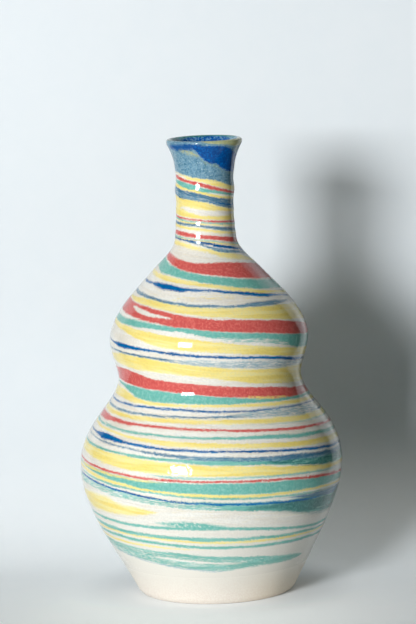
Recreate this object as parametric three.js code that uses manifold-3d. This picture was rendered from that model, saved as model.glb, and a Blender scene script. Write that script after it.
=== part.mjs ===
// A hand-thrown bottle vase of marbled clay, in millimetres, standing on its foot with +Z up.
// The wall is cream clay. Each coloured clay is a helical streak let into it, as layers of
// clay wind round a pot that is thrown from a striped lump. Clear glaze covers both faces.
import * as THREE from 'three';
import { mergeGeometries, mergeVertices } from 'three/addons/utils/BufferGeometryUtils.js';
import Module from 'manifold-3d';

// Outline over the glaze, from the foot up: the radius at each station, the rise to it from
// the station below, and the slope of radius over height where the wall is still leaning
const FOOT_RADIUS = 42.4;
const FOOT_SLOPE = 0.47;
const BELLY_RADIUS = 72.1;
const BELLY_RISE = 72;
const FLANK_RADIUS = 62.3;
const FLANK_RISE = 26;
const FLANK_SLOPE = -0.745;
const WAIST_RADIUS = 50.2;
const WAIST_RISE = 20.8;
const BULB_RADIUS = 54.5;
const BULB_RISE = 21.8;
const SHOULDER_RADIUS = 29.7;
const SHOULDER_RISE = 37.7;
const SHOULDER_SLOPE = -0.92;
const NECK_ROOT_RADIUS = 16.4;
const NECK_ROOT_RISE = 17.4;
const NECK_ROOT_SLOPE = -0.08;
const NECK_RADIUS = 15.65;
const NECK_RISE = 23.6;
const LIP_RADIUS = 20.3;
const LIP_RISE = 27.9;
const LIP_SLOPE = 0.5;

// Clay walls, floor and foot
const BODY_WALL = 5.4;
const NECK_WALL = 3.6;
const LIP_WALL = 2.3;
const FLOOR_THICKNESS = 8;
const FLOOR_CORNER_RADIUS = 14;
const FOOT_RING_WIDTH = 6.5;
const FOOT_RECESS_DEPTH = 2;
const FOOT_EDGE_BEVEL = 0.8;

// Glaze coats, and the clearance that two touching bodies keep
const GLAZE_THICKNESS = 0.35;
const BARE_FOOT_HEIGHT = 8;
const CLEARANCE = 0.3;

// Marbling: the collar of slate clay at the top, the plain cream foot at the bottom, and
// between them the helix, whose turns share the height in these proportions from the top
const COLLAR_HEIGHT = 18.8;
const COLLAR_TO_MARBLING = 1.4;
const PLAIN_FOOT_HEIGHT = 24;
const TURN_PROPORTIONS = [19.7, 8.2, 14.9, 27, 35, 22.2, 26.1, 26.9, 23];
const STREAK_DEPTH = 1.5;
const TAPER_TURNS = 0.35;
const TIP_FULLNESS = 0.5;

// Each helical streak's start and end in turns, and its upper and lower edge as shares of the
// drop of one turn
const RED = { start: 1.7, end: 7.3, upper: 0, lower: 0.16 };
const TEAL = { start: 2.5, end: 8.6, upper: 0.2, lower: 0.34 };
const BLUE = { start: 2.2, end: 7.5, upper: 0.5, lower: 0.56 };
const YELLOW = { start: 1.2, end: 7.2, upper: 0.74, lower: 0.96 };

// Deep-blue wedge in the collar: start and end in turns from the front, place under the rim
const LIP_BLUE = { start: -0.06, end: 0.62 };
const LIP_BLUE_BELOW_RIM = 3;
const LIP_BLUE_WIDTH = 10.5;

// Fineness of the facets: columns round the vase, and the sag allowed between two rows, which
// is looked for at the probes. A row that sags too far is trimmed by one part in ROW_TRIM_PARTS
const COLUMNS = 24;
const ROW_SAG = 0.22;
const INNER_ROW_SAG = 1.5;
const LONGEST_ROW = 20;
const ROUND_STEPS = 3;
const ROW_TRIM_PARTS = 12.5;
const SAG_PROBES = [0.25, 0.5, 0.75];

// A row shorter than this is left out, and points nearer than this become one
const NO_LENGTH = 1e-6;
const WELD_DISTANCE = 1e-3;

const CREAM = { color: 0xece2d3, roughness: 0.62, metalness: 0 };
const SLATE_CLAY = { color: 0x5f8399, roughness: 0.5, metalness: 0 };
const DEEP_BLUE_CLAY = { color: 0x1c5596, roughness: 0.5, metalness: 0 };
const RED_CLAY = { color: 0xc4565a, roughness: 0.5, metalness: 0 };
const TEAL_CLAY = { color: 0x6fb09c, roughness: 0.5, metalness: 0 };
const YELLOW_CLAY = { color: 0xf0d468, roughness: 0.5, metalness: 0 };
const CLEAR_GLAZE = { color: 0xf4f2ec, roughness: 0.08, metalness: 0, transparent: true, opacity: 0.3 };

const wasm = await Module();
wasm.setup();

// Stations of the outline, each with its height, radius and slope
function outlineStations() {
  const steps = [
    [0, FOOT_RADIUS, FOOT_SLOPE],
    [BELLY_RISE, BELLY_RADIUS, 0],
    [FLANK_RISE, FLANK_RADIUS, FLANK_SLOPE],
    [WAIST_RISE, WAIST_RADIUS, 0],
    [BULB_RISE, BULB_RADIUS, 0],
    [SHOULDER_RISE, SHOULDER_RADIUS, SHOULDER_SLOPE],
    [NECK_ROOT_RISE, NECK_ROOT_RADIUS, NECK_ROOT_SLOPE],
    [NECK_RISE, NECK_RADIUS, 0],
    [LIP_RISE, LIP_RADIUS, LIP_SLOPE],
  ];
  let height = 0;
  return steps.map(([rise, radius, slope]) => {
    height += rise;
    return { height, radius, slope };
  });
}

const stations = outlineStations();
const [shoulder, , neck, lip] = stations.slice(-4);

// Depths under the outline where the clay starts, and places that follow from the sizes
const CLAY_DEPTH = GLAZE_THICKNESS + CLEARANCE;
const COLLAR_BASE = lip.height - COLLAR_HEIGHT;
const MARBLING_TOP = COLLAR_BASE - COLLAR_TO_MARBLING;

// Radius of the outline and its slope, by cubic Hermite spans between the stations
function outlineAt(height) {
  const z = THREE.MathUtils.clamp(height, 0, lip.height);
  const upper = Math.max(1, stations.findIndex((station) => station.height >= z));
  const [a, b] = [stations[upper - 1], stations[upper]];
  const span = b.height - a.height;
  const t = (z - a.height) / span;
  const radius = (2 * t ** 3 - 3 * t ** 2 + 1) * a.radius
    + (t ** 3 - 2 * t ** 2 + t) * span * a.slope
    + (3 * t ** 2 - 2 * t ** 3) * b.radius
    + (t ** 3 - t ** 2) * span * b.slope;
  const slope = ((6 * t ** 2 - 6 * t) * (a.radius - b.radius)) / span
    + (3 * t ** 2 - 4 * t + 1) * a.slope
    + (3 * t ** 2 - 2 * t) * b.slope;
  return { radius, slope };
}

// Point (radius, height) at a depth under the outline, measured square to it
function pointUnder(height, depth) {
  const { radius, slope } = outlineAt(height);
  const stretch = Math.hypot(1, slope);
  return new THREE.Vector2(radius - depth / stretch, height + (depth * slope) / stretch);
}

// Clay wall: full below the shoulder, thinner up the neck and thinnest at the lip
function wallAt(height) {
  const upNeck = THREE.MathUtils.smoothstep(height, shoulder.height, neck.height);
  const upLip = THREE.MathUtils.smoothstep(height, neck.height, lip.height);
  return BODY_WALL + (NECK_WALL - BODY_WALL) * upNeck + (LIP_WALL - NECK_WALL) * upLip;
}

// How far a straight row from z to z + step would lie off the curved outline
function sagOver(z, step) {
  const [start, end] = [outlineAt(z).radius, outlineAt(z + step).radius];
  const offsets = SAG_PROBES.map((t) => {
    return Math.abs(outlineAt(z + step * t).radius - start - (end - start) * t);
  });
  return Math.max(...offsets);
}

// Heights of the facet rows between two heights, closer together where the outline bends
function rowsBetween(from, to, sag = ROW_SAG) {
  const rows = [from];
  while (rows.at(-1) < to) {
    const z = rows.at(-1);
    let step = Math.min(LONGEST_ROW, to - z);
    while (sagOver(z, step) > sag) step -= step / ROW_TRIM_PARTS;
    rows.push(to - z - step < NO_LENGTH ? to : z + step);
  }
  return rows;
}

const faceUnder = (rows, depth) => rows.map((z) => pointUnder(z, depth));
const innerFaceUnder = (rows, depth) => rows.map((z) => pointUnder(z, depth + wallAt(z)));

// Part of the half-round rim around the wall's middle: 0 is its outer side and 1 its inner side
function rimArc(outerDepth, wall, from = 0, to = 1) {
  const centre = pointUnder(lip.height, outerDepth + wall / 2);
  const lean = Math.atan(outlineAt(lip.height).slope);
  const steps = Math.ceil((to - from) * 2 * ROUND_STEPS);
  return Array.from({ length: steps + 1 }, (_, i) => {
    const angle = Math.PI * THREE.MathUtils.lerp(from, to, i / steps) - lean;
    return new THREE.Vector2(Math.cos(angle), Math.sin(angle)).multiplyScalar(wall / 2).add(centre);
  });
}

// Inner face down to a floor at the given height, with a rounded corner, ending on the axis
function basin(depth, floorHeight) {
  const cornerTop = floorHeight + FLOOR_CORNER_RADIUS;
  const wallFoot = pointUnder(cornerTop, depth + BODY_WALL);
  const corner = [];
  for (let i = 1; i <= ROUND_STEPS; i += 1) {
    const angle = (Math.PI / 2) * (i / ROUND_STEPS);
    const radius = wallFoot.x - FLOOR_CORNER_RADIUS * (1 - Math.cos(angle));
    corner.push(new THREE.Vector2(radius, wallFoot.y - (wallFoot.y - floorHeight) * Math.sin(angle)));
  }
  return [wallFoot, ...corner, new THREE.Vector2(0, floorHeight)];
}

// Solid of revolution from a (radius, height) profile, with a column facing the front, -Y
function turned(profile) {
  return new THREE.LatheGeometry(profile, COLUMNS).rotateX(Math.PI / 2);
}

// Height of the helix after a number of turns, smoothed through the turns at the front. Past
// either end it stays level, so the first and the last turn close against a level circle.
const heightsByTurn = (() => {
  const total = TURN_PROPORTIONS.reduce((sum, share) => sum + share, 0);
  const perShare = (MARBLING_TOP - PLAIN_FOOT_HEIGHT) / total;
  const heights = [MARBLING_TOP];
  TURN_PROPORTIONS.forEach((share) => heights.push(heights.at(-1) - share * perShare));
  return new THREE.SplineCurve(heights.map((height, turn) => new THREE.Vector2(turn, height)));
})();
const TURNS = TURN_PROPORTIONS.length;

// A column counts on through the turns; a share is a part of the drop of one turn
function helixHeight(column, share) {
  const turns = (column + share * COLUMNS) / COLUMNS;
  return heightsByTurn.getPoint(THREE.MathUtils.clamp(turns / TURNS, 0, 1)).y;
}

// Point in space on a column, at a height and a depth under the outline
function onColumn(column, height, depth) {
  const angle = (2 * Math.PI * THREE.MathUtils.euclideanModulo(column, COLUMNS)) / COLUMNS;
  const { x: radius, y: z } = pointUnder(height, depth);
  return [radius * Math.sin(angle), -radius * Math.cos(angle), z];
}

// How full a streak is at a column: nothing at its two tips, 1 between its tapers
function fullness({ start, end }, column) {
  const turns = column / COLUMNS;
  return THREE.MathUtils.smoothstep(Math.min(turns - start, end - turns), 0, TAPER_TURNS);
}

// Heights of a streak's edges where it is full: on the helix, or in the collar under the rim
function fullEdges(streak, column) {
  if (streak === LIP_BLUE) {
    const upper = lip.height - LIP_BLUE_BELOW_RIM;
    return [upper, upper - LIP_BLUE_WIDTH];
  }
  return [helixHeight(column, streak.upper), helixHeight(column, streak.lower)];
}

// Heights of the edges of a streak's groove at a column, and how deep the groove is
function grooveAt(streak, column) {
  const full = fullness(streak, column);
  const [upper, lower] = fullEdges(streak, column);
  const middle = (upper + lower) / 2;
  return {
    full,
    top: THREE.MathUtils.lerp(middle, upper, full),
    bottom: THREE.MathUtils.lerp(middle, lower, full),
    depth: full > 0 ? STREAK_DEPTH * full + CLEARANCE : 0,
  };
}

// Faces between neighbouring rings of points that all have the same number of points
function skin(rings, closed) {
  const size = rings[0].length / 3;
  const index = [];
  for (let i = 0; i < rings.length - 1; i += 1) {
    for (let j = 0; j < (closed ? size : size - 1); j += 1) {
      const [a, b] = [i * size + j, i * size + ((j + 1) % size)];
      index.push(a, b, b + size, a, b + size, a + size);
    }
  }
  const geometry = new THREE.BufferGeometry();
  geometry.setAttribute('position', new THREE.Float32BufferAttribute(rings.flat(), 3));
  geometry.setIndex(index);
  return geometry;
}

// Marbled face of the wall: one tape that winds down the helix, with a groove for each streak.
// Each turn's lower edge is the next turn's upper edge.
function marbledFace(streaks) {
  const rings = [];
  for (let column = -COLUMNS; column <= TURNS * COLUMNS; column += 1) {
    const ring = [onColumn(column, helixHeight(column, 0), CLAY_DEPTH)];
    streaks.forEach((streak) => {
      const { top, bottom, depth } = grooveAt(streak, column);
      ring.push(onColumn(column, top, CLAY_DEPTH), onColumn(column, top, CLAY_DEPTH + depth));
      ring.push(onColumn(column, bottom, CLAY_DEPTH + depth), onColumn(column, bottom, CLAY_DEPTH));
    });
    ring.push(onColumn(column, helixHeight(column, 1), CLAY_DEPTH));
    rings.push(ring.flat());
  }
  return skin(rings, false);
}

// Joins open faces at their shared points and drops the triangles that have no area left
function sewn(...faces) {
  const bare = faces.map((face) => {
    const open = face.index ? face.toNonIndexed() : face.clone();
    open.deleteAttribute('normal');
    open.deleteAttribute('uv');
    return open;
  });
  const merged = mergeVertices(mergeGeometries(bare), WELD_DISTANCE);
  const corners = [...merged.index.array];
  const kept = [];
  for (let i = 0; i < corners.length; i += 3) {
    const [a, b, c] = corners.slice(i, i + 3);
    if (a !== b && b !== c && c !== a) kept.push(a, b, c);
  }
  merged.setIndex(kept);
  return merged;
}

// How far a flat face from one height to another would stand proud where the outline is hollow
function hollowSag(upper, lower) {
  const [above, below] = [outlineAt(upper).radius, outlineAt(lower).radius];
  return Math.max(0, (above + below) / 2 - outlineAt((upper + lower) / 2).radius);
}

// Closed ribbon along a streak, short of its tips. Inset draws in its edges from the groove's,
// and its outer and inner face lie at the two depths, the outer one sunk where it would bulge.
function ribbon(streak, inset, outerDepth, innerDepth) {
  const rings = [];
  for (let column = -COLUMNS; column <= TURNS * COLUMNS; column += 1) {
    const { full, top, bottom } = grooveAt(streak, column);
    if (full > TIP_FULLNESS) {
      const [upper, lower] = [top - inset, bottom + inset];
      const faceDepth = outerDepth + hollowSag(upper, lower);
      rings.push([
        onColumn(column, upper, faceDepth),
        onColumn(column, lower, faceDepth),
        onColumn(column, lower, innerDepth(full)),
        onColumn(column, upper, innerDepth(full)),
      ].flat());
    }
  }
  const solid = skin(rings, true);
  const [outerTop, outerLow, innerLow, innerTop] = [0, 1, 2, 3];
  const startCap = [outerTop, innerTop, innerLow, outerTop, innerLow, outerLow];
  const lastRing = (rings.length - 1) * (innerTop + 1);
  const endCap = [outerTop, outerLow, innerLow, outerTop, innerLow, innerTop];
  solid.setIndex([...solid.index.array, ...startCap, ...endCap.map((corner) => lastRing + corner)]);
  return solid;
}

// A streak of clay, which fills its groove up to the clearance
function streakSolid(streak) {
  return ribbon(streak, CLEARANCE, CLAY_DEPTH, (full) => CLAY_DEPTH + STREAK_DEPTH * full);
}

// Rows of the inner face above its rounded floor corner
const floorRow = FLOOR_THICKNESS + FLOOR_CORNER_RADIUS;
const innerRows = rowsBetween(floorRow, COLLAR_BASE, INNER_ROW_SAG).slice(1, -1);

// Rest of the cream clay: neck above the marbling, inner face, floor, foot ring and plain foot
function plainFace() {
  const neckRows = rowsBetween(MARBLING_TOP, COLLAR_BASE).slice(0, -1);
  const footRows = rowsBetween(FOOT_EDGE_BEVEL, PLAIN_FOOT_HEIGHT);
  const footEdge = pointUnder(0, CLAY_DEPTH).x;
  const ringInner = footEdge - FOOT_RING_WIDTH;
  const seat = CLAY_DEPTH + wallAt(COLLAR_BASE);
  const profile = [
    new THREE.Vector2(0, FOOT_RECESS_DEPTH),
    new THREE.Vector2(ringInner - FOOT_RECESS_DEPTH, FOOT_RECESS_DEPTH),
    new THREE.Vector2(ringInner, 0),
    new THREE.Vector2(footEdge - FOOT_EDGE_BEVEL, 0),
    ...faceUnder(footRows, CLAY_DEPTH),
  ];
  const upper = [
    ...faceUnder(neckRows, CLAY_DEPTH),
    new THREE.Vector2(pointUnder(COLLAR_BASE, CLAY_DEPTH).x, COLLAR_BASE),
    new THREE.Vector2(pointUnder(COLLAR_BASE, seat).x, COLLAR_BASE),
    ...innerFaceUnder(innerRows, CLAY_DEPTH).reverse(),
    ...basin(CLAY_DEPTH, FLOOR_THICKNESS),
  ];
  return [turned(profile), turned(upper)];
}

// Rows of the collar between its base and the rim, which its glaze shares
const collarFoot = COLLAR_BASE + CLEARANCE;
const collarRows = rowsBetween(collarFoot, lip.height).slice(1, -1);

// Slate clay collar: the top of the neck and the flared lip, with its rounded rim
function collarBlank() {
  const profile = [
    new THREE.Vector2(pointUnder(collarFoot, CLAY_DEPTH).x, collarFoot),
    ...faceUnder(collarRows, CLAY_DEPTH),
    ...rimArc(CLAY_DEPTH, LIP_WALL),
    ...innerFaceUnder(collarRows, CLAY_DEPTH).reverse(),
    new THREE.Vector2(pointUnder(collarFoot, CLAY_DEPTH + wallAt(collarFoot)).x, collarFoot),
  ];
  return turned([...profile, profile[0]]);
}

// Closed geometry to a solid that can be cut, and back
function toSolid(geometry) {
  const merged = sewn(geometry);
  return new wasm.Manifold(new wasm.Mesh({
    numProp: 3,
    vertProperties: new Float32Array(merged.attributes.position.array),
    triVerts: new Uint32Array(merged.index.array),
  }));
}

function toGeometry(solid) {
  const { vertProperties, triVerts } = solid.getMesh();
  const geometry = new THREE.BufferGeometry();
  geometry.setAttribute('position', new THREE.BufferAttribute(vertProperties, 3));
  geometry.setIndex(new THREE.BufferAttribute(triVerts, 1));
  return geometry;
}

// The collar with the groove for its blue wedge, cut from outside the wall
function collarSolid() {
  const grooveFloor = (full) => CLAY_DEPTH + STREAK_DEPTH * full + CLEARANCE;
  const cutter = ribbon(LIP_BLUE, 0, -CLEARANCE, grooveFloor);
  return toGeometry(toSolid(collarBlank()).subtract(toSolid(cutter)));
}

// Shares of the rim where the two glaze coats stop, a clearance apart over its crown
const CROWN = 0.5;
const rimGap = CLEARANCE / 2 / (Math.PI * (LIP_WALL / 2 + CLAY_DEPTH));
const [outerRimEnd, innerRimStart] = [CROWN - rimGap, CROWN + rimGap];

// Clear coat on the outside, from the bare foot up to the crown of the rim
function outerGlazeSolid() {
  const rows = [...rowsBetween(BARE_FOOT_HEIGHT, COLLAR_BASE), ...collarRows];
  const openFace = [
    ...faceUnder(rows, 0),
    ...rimArc(0, LIP_WALL + 2 * CLAY_DEPTH, 0, outerRimEnd),
  ];
  const clayFace = [
    ...faceUnder(rows, GLAZE_THICKNESS),
    ...rimArc(GLAZE_THICKNESS, LIP_WALL + 2 * CLEARANCE, 0, outerRimEnd),
  ];
  return turned([...openFace, ...clayFace.reverse(), openFace[0]]);
}

// Glaze lining, from the crown of the rim down the inner face and over the floor
function innerGlazeSolid() {
  const rows = [...innerRows, COLLAR_BASE, ...collarRows].reverse();
  const clayFace = [
    ...rimArc(GLAZE_THICKNESS, LIP_WALL + 2 * CLEARANCE, innerRimStart, 1),
    ...innerFaceUnder(rows, CLAY_DEPTH + CLEARANCE),
    ...basin(CLAY_DEPTH + CLEARANCE, FLOOR_THICKNESS + CLEARANCE),
  ];
  const openFace = [
    ...rimArc(0, LIP_WALL + 2 * CLAY_DEPTH, innerRimStart, 1),
    ...innerFaceUnder(rows, 2 * CLAY_DEPTH),
    ...basin(2 * CLAY_DEPTH, FLOOR_THICKNESS + CLAY_DEPTH),
  ];
  return turned([...clayFace.reverse(), ...openFace]);
}

const group = new THREE.Group();

function add(name, geometry, finish) {
  const mesh = new THREE.Mesh(geometry, new THREE.MeshStandardMaterial(finish));
  mesh.name = name;
  group.add(mesh);
}

const streaks = [RED, TEAL, BLUE, YELLOW];
add('clay_body', sewn(...plainFace(), marbledFace(streaks)), CREAM);
add('lip_collar', collarSolid(), SLATE_CLAY);
add('lip_blue_streak', streakSolid(LIP_BLUE), DEEP_BLUE_CLAY);
add('red_streak', streakSolid(RED), RED_CLAY);
add('teal_streak', streakSolid(TEAL), TEAL_CLAY);
add('blue_streak', streakSolid(BLUE), DEEP_BLUE_CLAY);
add('yellow_streak', streakSolid(YELLOW), YELLOW_CLAY);
add('outer_glaze', sewn(outerGlazeSolid()), CLEAR_GLAZE);
add('inner_glaze', sewn(innerGlazeSolid()), CLEAR_GLAZE);

export default group;
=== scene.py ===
import bmesh
import bpy
import math
from mathutils import Matrix, Vector


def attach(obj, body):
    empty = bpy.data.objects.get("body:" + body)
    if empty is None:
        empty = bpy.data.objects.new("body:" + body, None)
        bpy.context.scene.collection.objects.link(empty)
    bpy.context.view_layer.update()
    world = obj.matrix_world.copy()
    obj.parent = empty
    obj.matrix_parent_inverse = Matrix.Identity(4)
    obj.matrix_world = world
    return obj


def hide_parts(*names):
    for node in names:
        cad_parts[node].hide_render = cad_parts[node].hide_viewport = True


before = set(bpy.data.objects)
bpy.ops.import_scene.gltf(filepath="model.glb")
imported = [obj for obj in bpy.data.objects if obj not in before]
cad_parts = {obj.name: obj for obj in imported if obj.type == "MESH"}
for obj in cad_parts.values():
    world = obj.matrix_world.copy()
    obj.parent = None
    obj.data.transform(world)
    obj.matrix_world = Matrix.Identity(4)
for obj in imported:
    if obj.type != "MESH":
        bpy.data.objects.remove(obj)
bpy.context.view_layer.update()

# The wall: one shell of clay, thrown on a wheel from the foot to the rim and trimmed at its foot.
# The fingers left soft ridges up the neck and body, and the pot sways a little off its axis.
MM = 0.001
STATIONS = [
    # height, radius, slope of radius over height
    (0.0, 42.4, 0.47),
    (72.0, 72.1, 0.0),
    (98.0, 62.3, -0.745),
    (119.6, 50.2, 0.0),
    (140.6, 54.5, 0.0),
    (178.3, 29.7, -0.92),
    (195.7, 16.4, -0.08),
    (219.3, 15.65, -0.02),
    (247.2, 20.3, 0.5),
]
NECK_ROOT, NECK_TOP, LIP_HEIGHT = 178.3, 219.3, 247.2
RIDGES = [
    # height of the crest, rise, half width
    (247.6, 0.4, 6.0), (233.0, 0.15, 3.0), (222.0, 0.75, 4.0), (211.0, 0.15, 3.0),
    (203.4, 0.28, 1.8), (196.2, 0.5, 4.5), (162.0, 0.2, 5.0), (128.0, 0.2, 4.5),
    (113.0, 0.12, 4.5), (60.0, 0.15, 6.0), (36.0, 0.15, 5.0),
]
SWAY = [
    # height, distance to the right
    (0.0, 0.9), (50.0, -0.35), (76.0, 0.0), (100.0, 0.45), (150.0, 0.95), (200.0, 0.85), (250.0, 1.75),
]
SKIN, FOOT_SKIN = 0.1, 0.12
BODY_WALL, NECK_WALL, LIP_WALL = 5.9, 4.0, 2.8
RIM_TOP, RIM_STEPS = 249.7, 18
FLOOR_HEIGHT, FLOOR_CORNER, CORNER_STEPS = 8.3, 14.0, 9
GLAZE_EDGE = 8.0
COLUMNS, OUTER_ROW, INNER_ROW = 180, 1.1, 2.6
SAME_POINT = 1e-6
FOOT_RING = [
    # radius, height, from the middle of the underside out over the ring that it stands on
    (0, 2.0), (33.2, 2.0), (34.2, 1.7), (35.0, 0.8), (35.5, 0.2), (36.1, 0.0), (40.2, 0.0), (41.0, 0.15),
    (41.7, 0.55), (42.25, 1.2),
]
FOOT_ROWS = (2.2, 3.4, 5.0, 6.6)


def smooth(value, low, high):
    """Share of the way from low to high, eased at both ends."""
    t = min(max((value - low) / (high - low), 0.0), 1.0)
    return t * t * (3 - 2 * t)


def outline(height):
    """Radius and slope of the outside at a height."""
    z = min(max(height, 0.0), LIP_HEIGHT)
    for (z0, r0, s0), (z1, r1, s1) in zip(STATIONS, STATIONS[1:]):
        if z <= z1:
            span = z1 - z0
            t = (z - z0) / span
            radius = (2 * t ** 3 - 3 * t ** 2 + 1) * r0 + (t ** 3 - 2 * t ** 2 + t) * span * s0
            radius += (3 * t ** 2 - 2 * t ** 3) * r1 + (t ** 3 - t ** 2) * span * s1
            slope = (6 * t ** 2 - 6 * t) * (r0 - r1) / span
            slope += (3 * t ** 2 - 4 * t + 1) * s0 + (3 * t ** 2 - 2 * t) * s1
            return radius, slope


def under(height, depth):
    """Point (radius, height) at a depth under the outside, square to it."""
    radius, slope = outline(height)
    stretch = math.hypot(1, slope)
    return radius - depth / stretch, height + depth * slope / stretch


def ridged(height, depth):
    """Point under the outside, raised where a throwing ridge runs."""
    proud = sum(rise * math.exp(-(((height - crest) / width) ** 2)) for crest, rise, width in RIDGES)
    return under(height, depth - proud)


def sway(height):
    """How far the pot leans to the right at a height."""
    for (z0, x0), (z1, x1) in zip(SWAY, SWAY[1:]):
        if height <= z1:
            return x0 + (x1 - x0) * smooth(height, z0, z1)
    return SWAY[-1][1]


def wall_at(height):
    """Thickness of the wall: full in the body, thinner up the neck and thinnest at the lip."""
    up_neck = smooth(height, NECK_ROOT, NECK_TOP)
    up_lip = smooth(height, NECK_TOP, LIP_HEIGHT)
    return BODY_WALL + (NECK_WALL - BODY_WALL) * up_neck + (LIP_WALL - NECK_WALL) * up_lip


def heights(low, high, step):
    """Even rows between two heights, about a step apart."""
    count = max(1, round((high - low) / step))
    return [low + (high - low) * i / count for i in range(count + 1)]


def rim_round(first, last, steps, thin=0.0, thick=0.0):
    """The half-round rim between two shares of its arc, with a coat that thickens along it."""
    centre = Vector(ridged(LIP_HEIGHT, SKIN + LIP_WALL / 2))
    centre.y = RIM_TOP - LIP_WALL / 2
    flare = math.atan(outline(LIP_HEIGHT)[1])
    points = []
    for i in range(steps + 1):
        angle = math.pi * (first + (last - first) * i / steps) - flare
        radius = LIP_WALL / 2 + thin + (thick - thin) * i / steps
        points.append(centre + Vector((math.cos(angle), math.sin(angle))) * radius)
    return points


def inner_face(proud=0.0):
    """Inner face from the floor's corner up to the lip, and down the corner to the floor."""
    top = FLOOR_HEIGHT + FLOOR_CORNER
    face = [under(z, SKIN + wall_at(z) + proud) for z in heights(top, LIP_HEIGHT, INNER_ROW)]
    foot_of_face = Vector(face[0])
    corner = []
    for i in range(1, CORNER_STEPS + 1):
        angle = math.pi / 2 * i / CORNER_STEPS
        corner.append((
            foot_of_face.x - FLOOR_CORNER * (1 - math.cos(angle)),
            foot_of_face.y - (foot_of_face.y - FLOOR_HEIGHT - proud) * math.sin(angle),
        ))
    return face, corner


def thrown(name, profile):
    """A shell turned on the wheel from a (radius, height) profile that starts and ends on the axis."""
    bm = bmesh.new()
    points = [bm.verts.new((r * MM, 0, z * MM)) for r, z in profile]
    edges = [bm.edges.new(pair) for pair in zip(points, points[1:])]
    bmesh.ops.spin(
        bm, geom=points + edges, cent=(0, 0, 0), axis=(0, 0, 1),
        angle=2 * math.pi, steps=COLUMNS, use_merge=True,
    )
    bmesh.ops.remove_doubles(bm, verts=bm.verts, dist=SAME_POINT)
    for vert in bm.verts:
        vert.co.x += sway(vert.co.z / MM) * MM
    bmesh.ops.recalc_face_normals(bm, faces=bm.faces)
    for face in bm.faces:
        face.smooth = True
    mesh = bpy.data.meshes.new(name)
    bm.to_mesh(mesh)
    bm.free()
    piece = bpy.data.objects.new(name, mesh)
    bpy.context.scene.collection.objects.link(piece)
    return piece


foot = [*FOOT_RING, *[under(z, FOOT_SKIN) for z in FOOT_ROWS]]
outside = [ridged(z, SKIN) for z in heights(GLAZE_EDGE, LIP_HEIGHT, OUTER_ROW)]
face, corner = inner_face()
wall = thrown(
    "marbled_wall",
    [*foot, *outside, *rim_round(0, 1, RIM_STEPS)[1:-1], *reversed(face), *corner, (0, FLOOR_HEIGHT)],
)

# The marbling: coloured clays wedged into the cream lump, which the throwing drew out into streaks
# that wind down the wall from left to right. Their edges are torn and grained, as stiff clay tears.
TALL = 260.0
TURNS, BOUNDARIES = 11, 10
STREAK_END = 0.05, 0.8
CLOUD_EDGES = 0.36, 0.64
WAVER, FRAY, TURN_GAP = 0.9, 2.9, 0.45
MARBLED_FROM = 34.0, 60.0


class Sheet:
    """A node tree that is being drawn, with short words for its nodes."""

    def __init__(self, tree):
        self.tree = tree

    def node(self, kind, **values):
        made = self.tree.nodes.new(kind)
        for key, value in values.items():
            setattr(made, key, value)
        return made

    def put(self, value, socket):
        """Link a socket, or set a plain value."""
        if isinstance(value, bpy.types.NodeSocket):
            self.tree.links.new(value, socket)
        elif value is not None:
            socket.default_value = value

    def feed(self, node, *inputs):
        for socket, value in zip(node.inputs, inputs):
            self.put(value, socket)
        return node

    def math(self, operation, *inputs):
        return self.feed(self.node("ShaderNodeMath", operation=operation), *inputs).outputs[0]

    def blend(self, factor, low, high):
        """Mix of two colours."""
        node = self.node("ShaderNodeMix", data_type="RGBA")
        for name, value in (("Factor", factor), ("A", low), ("B", high)):
            self.put(value, [s for s in node.inputs if s.name == name and s.enabled][0])
        return [s for s in node.outputs if s.enabled][0]

    def ramp(self, value, low, high, out_low=0.0, out_high=1.0):
        """A value eased from one range into another."""
        node = self.node("ShaderNodeMapRange", interpolation_type="SMOOTHSTEP")
        return self.feed(node, value, low, high, out_low, out_high).outputs[0]

    def noise(self, vector, scale, detail=2.0, roughness=0.5):
        node = self.node("ShaderNodeTexNoise")
        self.put(vector, node.inputs["Vector"])
        node.inputs["Scale"].default_value = scale
        node.inputs["Detail"].default_value = detail
        node.inputs["Roughness"].default_value = roughness
        return node.outputs["Fac"]

    def curve(self, value, points):
        """A smooth line through points, read at a value."""
        node = self.node("ShaderNodeFloatCurve")
        track = node.mapping.curves[0]
        for x, y in points[1:-1]:
            track.points.new(x, y)
        track.points[0].location = points[0]
        track.points[len(points) - 1].location = points[-1]
        for point in track.points:
            point.handle_type = "AUTO_CLAMPED"
        node.mapping.use_clip = False
        node.mapping.update()
        self.put(value, node.inputs["Value"])
        return node.outputs[0]

    def group(self, tree, **values):
        """A group's node, with its inputs given by name."""
        node = self.node("ShaderNodeGroup")
        node.node_tree = tree
        for name, value in values.items():
            self.put(value, node.inputs[name.replace("_", " ").title()])
        return node


def srgb(red, green, blue):
    """A colour as written for a screen, made linear."""
    def linear(c):
        c /= 255
        return c / 12.92 if c <= 0.04045 else ((c + 0.055) / 1.055) ** 2.4
    return (linear(red), linear(green), linear(blue), 1.0)


def new_group(name, inputs, outputs):
    """A shader node group with its sockets, and its input and output nodes."""
    tree = bpy.data.node_groups.new(name, "ShaderNodeTree")
    for side, sockets in (("INPUT", inputs), ("OUTPUT", outputs)):
        for label, kind in sockets:
            tree.interface.new_socket(label, in_out=side, socket_type=kind)
    draw = Sheet(tree)
    return draw, draw.node("NodeGroupInput").outputs, draw.node("NodeGroupOutput").inputs


NUMBER, COLOUR, VECTOR = "NodeSocketFloat", "NodeSocketColor", "NodeSocketVector"

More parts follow.
